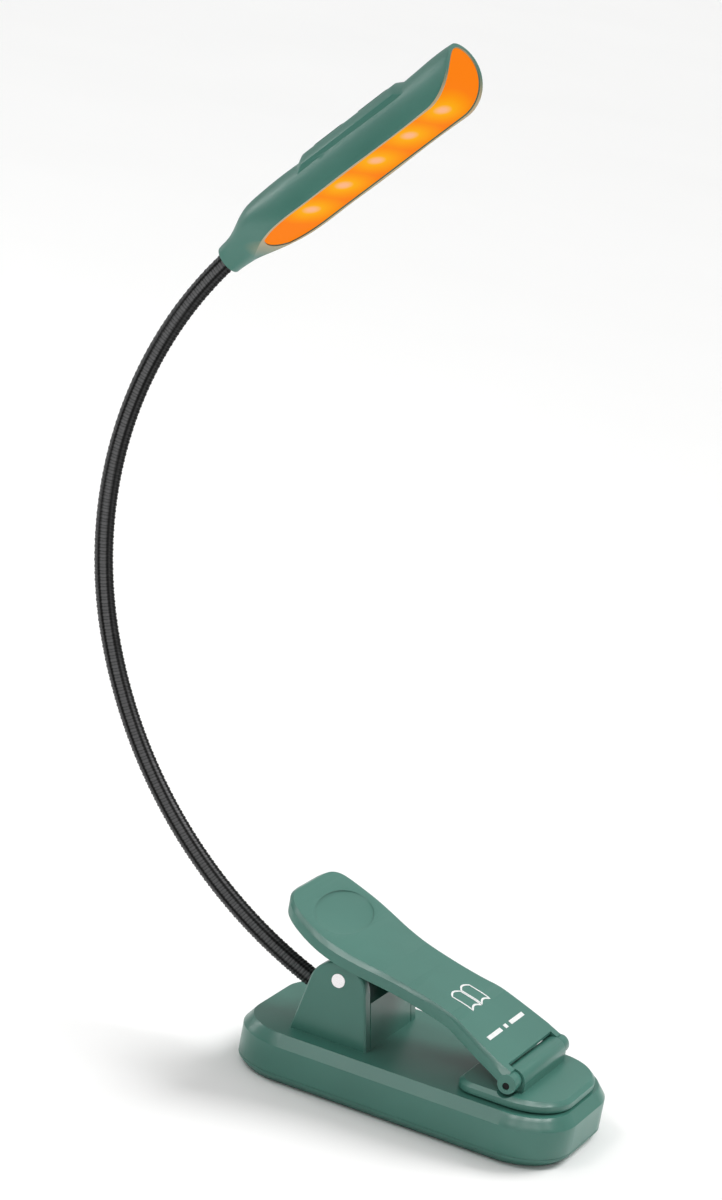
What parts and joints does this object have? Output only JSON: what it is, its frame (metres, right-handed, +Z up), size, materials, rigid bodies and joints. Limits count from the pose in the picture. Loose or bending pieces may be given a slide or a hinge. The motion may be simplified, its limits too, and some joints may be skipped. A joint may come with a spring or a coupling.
{
  "type": "clip on reading lamp",
  "caption": "Clip-on reading lamp: a slim amber-lit head on a bent black gooseneck, over a rounded green base with a sprung clip.",
  "frame": {"origin": "centre of the rubber foot's underside, which rests on the surface", "axes": "+X from the gooseneck's end of the base to the jaw, +Z up, the clip is mirrored about the XZ plane"},
  "size_m": [0.133, 0.039, 0.2147],
  "materials": {
    "body_green": "satin moulded ABS, deep sage green",
    "cover_green": "satin moulded ABS, deep sage green",
    "lever_green": "satin moulded ABS, sage green",
    "head_green": "satin moulded ABS, deep sage green",
    "button_green": "satin, a shade darker than the head",
    "rubber_black": "soft matt rubber",
    "neck_black": "black ribbed gooseneck, semi-gloss",
    "ferrule_steel": "turned sleeve",
    "pin_steel": "polished pin end",
    "pin_dark": "blackened pin",
    "spring_steel": "bright spring wire",
    "screw_steel": "zinc-plated screw",
    "socket_steel": "stamped socket shell",
    "board_green": "solder-masked glass-fibre board",
    "board_white": "white solder-masked board",
    "chip_black": "moulded chip packages",
    "battery_foil": "foil pouch cell",
    "light_pipe": "clear light pipe",
    "lens_amber": "translucent amber diffuser",
    "led_yellow": "light-emitting diode package"
  },
  "bodies": {
    "base": {"base_shell": "body_green", "base_cover": "cover_green", "foot_pad": "rubber_black", "cover_screws": "screw_steel", "usb_socket": "socket_steel", "charge_board": "board_green", "board_chips": "chip_black", "charge_light": "light_pipe", "battery": "battery_foil", "base_ferrule": "ferrule_steel", "pivot_pin": "pin_steel", "clip_spring": "spring_steel"},
    "lever": {"lever": "lever_green", "jaw_pin": "pin_dark"},
    "jaw": {"jaw_pad": "lever_green", "jaw_facing": "rubber_black"},
    "neck_01": {"neck_segment_01": "neck_black"},
    "neck_02": {"neck_segment_02": "neck_black"},
    "neck_03": {"neck_segment_03": "neck_black"},
    "neck_04": {"neck_segment_04": "neck_black"},
    "neck_05": {"neck_segment_05": "neck_black"},
    "neck_06": {"neck_segment_06": "neck_black"},
    "neck_07": {"neck_segment_07": "neck_black"},
    "neck_08": {"neck_segment_08": "neck_black"},
    "neck_09": {"neck_segment_09": "neck_black"},
    "neck_10": {"neck_segment_10": "neck_black"},
    "neck_11": {"neck_segment_11": "neck_black"},
    "neck_12": {"neck_segment_12": "neck_black"},
    "head": {"head_shell": "head_green", "head_lens": "lens_amber", "tact_switches": "chip_black", "control_board": "board_green", "led_board": "board_white", "leds": "led_yellow", "head_ferrule": "ferrule_steel"},
    "power_button": {"power_button": "button_green"},
    "colour_button": {"colour_button": "button_green"}
  },
  "joints": [
    {"name": "lever_pivot", "type": "hinge", "parent": "base", "child": "lever", "pos_m": [-0.0169, 0, 0.0239], "axis": [0, -1, 0], "range_deg": [0, 25], "stiffness_Nm_per_rad": 0.35, "springref_deg": -51.57, "deforming": ["clip_spring"]},
    {"name": "jaw_pad_tilt", "type": "hinge", "parent": "lever", "child": "jaw", "pos_m": [0.02365, 0, 0.0147], "axis": [0, -1, 0], "range_deg": [-25, 0]},
    {"name": "neck_bend_00", "type": "hinge", "parent": "base", "child": "neck_01", "pos_m": [-0.026, 0, 0.0165], "axis": [0, 1, 0], "range_deg": [-9, 6]},
    {"name": "neck_bend_01", "type": "hinge", "parent": "neck_01", "child": "neck_02", "pos_m": [-0.03963, 0, 0.02239], "axis": [0, 1, 0], "range_deg": [-9, 6]},
    {"name": "neck_sway_02", "type": "hinge", "parent": "neck_02", "child": "neck_03", "pos_m": [-0.05227, 0, 0.03021], "axis": [-0.5866, 0, -0.8099], "range_deg": [-10, 10]},
    {"name": "neck_bend_03", "type": "hinge", "parent": "neck_03", "child": "neck_04", "pos_m": [-0.06363, 0, 0.03977], "axis": [0, 1, 0], "range_deg": [-9, 6]},
    {"name": "neck_bend_04", "type": "hinge", "parent": "neck_04", "child": "neck_05", "pos_m": [-0.07348, 0, 0.05089], "axis": [0, 1, 0], "range_deg": [-9, 6]},
    {"name": "neck_sway_05", "type": "hinge", "parent": "neck_05", "child": "neck_06", "pos_m": [-0.08161, 0, 0.06332], "axis": [-0.8746, 0, -0.4849], "range_deg": [-10, 10]},
    {"name": "neck_bend_06", "type": "hinge", "parent": "neck_06", "child": "neck_07", "pos_m": [-0.08785, 0, 0.0768], "axis": [0, 1, 0], "range_deg": [-11, 9]},
    {"name": "neck_bend_07", "type": "hinge", "parent": "neck_07", "child": "neck_08", "pos_m": [-0.09188, 0, 0.09109], "axis": [0, 1, 0], "range_deg": [-11, 9]},
    {"name": "neck_sway_08", "type": "hinge", "parent": "neck_08", "child": "neck_09", "pos_m": [-0.09344, 0, 0.10586], "axis": [-0.9998, 0, -0.0201], "range_deg": [-10, 10]},
    {"name": "neck_bend_09", "type": "hinge", "parent": "neck_09", "child": "neck_10", "pos_m": [-0.09248, 0, 0.12068], "axis": [0, 1, 0], "range_deg": [-11, 9]},
    {"name": "neck_bend_10", "type": "hinge", "parent": "neck_10", "child": "neck_11", "pos_m": [-0.08902, 0, 0.13512], "axis": [0, 1, 0], "range_deg": [-11, 9]},
    {"name": "neck_sway_11", "type": "hinge", "parent": "neck_11", "child": "neck_12", "pos_m": [-0.08317, 0, 0.14877], "axis": [-0.8823, 0, 0.4708], "range_deg": [-10, 10]},
    {"name": "neck_bend_12", "type": "hinge", "parent": "neck_12", "child": "head", "pos_m": [-0.07509, 0, 0.16123], "axis": [0, 1, 0], "range_deg": [-11, 9]},
    {"name": "power_button_press", "type": "slide", "parent": "head", "child": "power_button", "axis": [0.7176, -0.1822, -0.6722], "range_m": [0, 0.00035], "stiffness_N_per_m": 2500, "springref_m": -0.0004},
    {"name": "colour_button_press", "type": "slide", "parent": "head", "child": "colour_button", "axis": [0.7176, -0.1822, -0.6722], "range_m": [0, 0.00035], "stiffness_N_per_m": 2500, "springref_m": -0.0004}
  ],
  "couplings": [
    {"joint": "neck_bend_01", "follows": "neck_bend_00", "ratio": 1},
    {"joint": "neck_bend_03", "follows": "neck_bend_00", "ratio": 1},
    {"joint": "neck_bend_04", "follows": "neck_bend_00", "ratio": 1},
    {"joint": "neck_sway_05", "follows": "neck_sway_02", "ratio": 1},
    {"joint": "neck_bend_07", "follows": "neck_bend_06", "ratio": 1},
    {"joint": "neck_sway_08", "follows": "neck_sway_02", "ratio": 1},
    {"joint": "neck_bend_09", "follows": "neck_bend_06", "ratio": 1},
    {"joint": "neck_bend_10", "follows": "neck_bend_06", "ratio": 1},
    {"joint": "neck_sway_11", "follows": "neck_sway_02", "ratio": 1},
    {"joint": "neck_bend_12", "follows": "neck_bend_06", "ratio": 1},
    {"joint": "jaw_pad_tilt", "follows": "lever_pivot", "ratio": -1}
  ]
}
